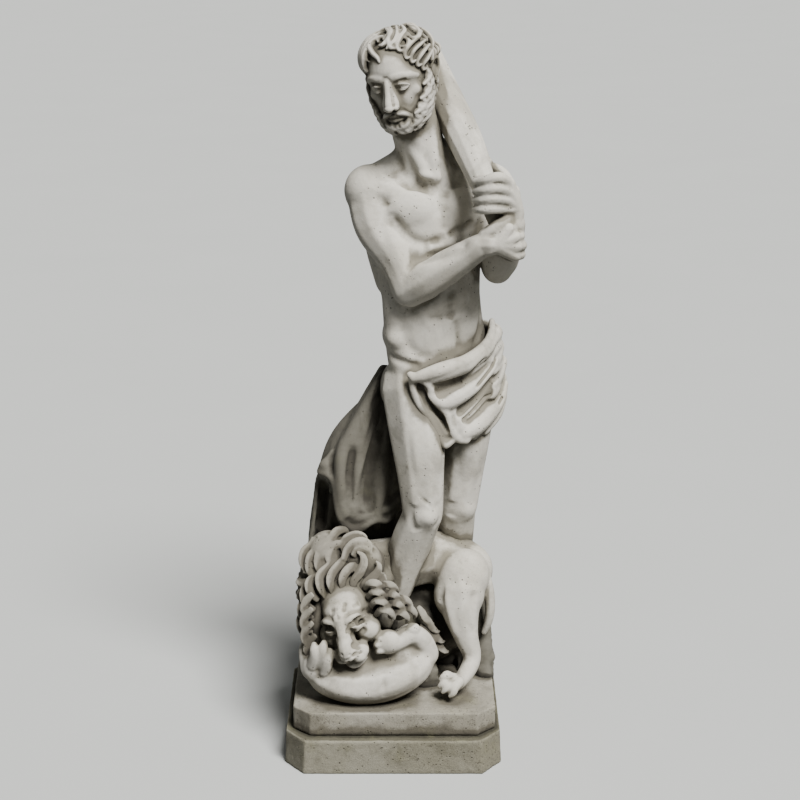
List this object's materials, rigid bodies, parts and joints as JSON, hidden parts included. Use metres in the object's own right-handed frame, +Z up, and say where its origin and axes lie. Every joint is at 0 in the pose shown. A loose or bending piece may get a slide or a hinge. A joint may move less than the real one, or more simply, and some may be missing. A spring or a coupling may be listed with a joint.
{
  "type": "garden sculpture",
  "caption": "Cast concrete figure of a man shouldering a club above a resting lion, on a two-tier square plinth with cut corners.",
  "frame": {"origin": "middle of the plinth's flat underside", "axes": "+Z up along the standing figure; the sculpture's front, with the lion's head, faces -Y; +X is to the right of a person who faces the front"},
  "size_m": [0.4069, 0.3576, 1.2527],
  "materials": {
    "pale_concrete": "aged, unpainted cast concrete, worn pale on the high places and brown-grey in the folds",
    "weathered_concrete": "rough cast concrete, pitted and stained yellow-grey"
  },
  "bodies": {
    "root": {"man_and_lion": "pale_concrete", "base_slab": "weathered_concrete"}
  },
  "joints": []
}
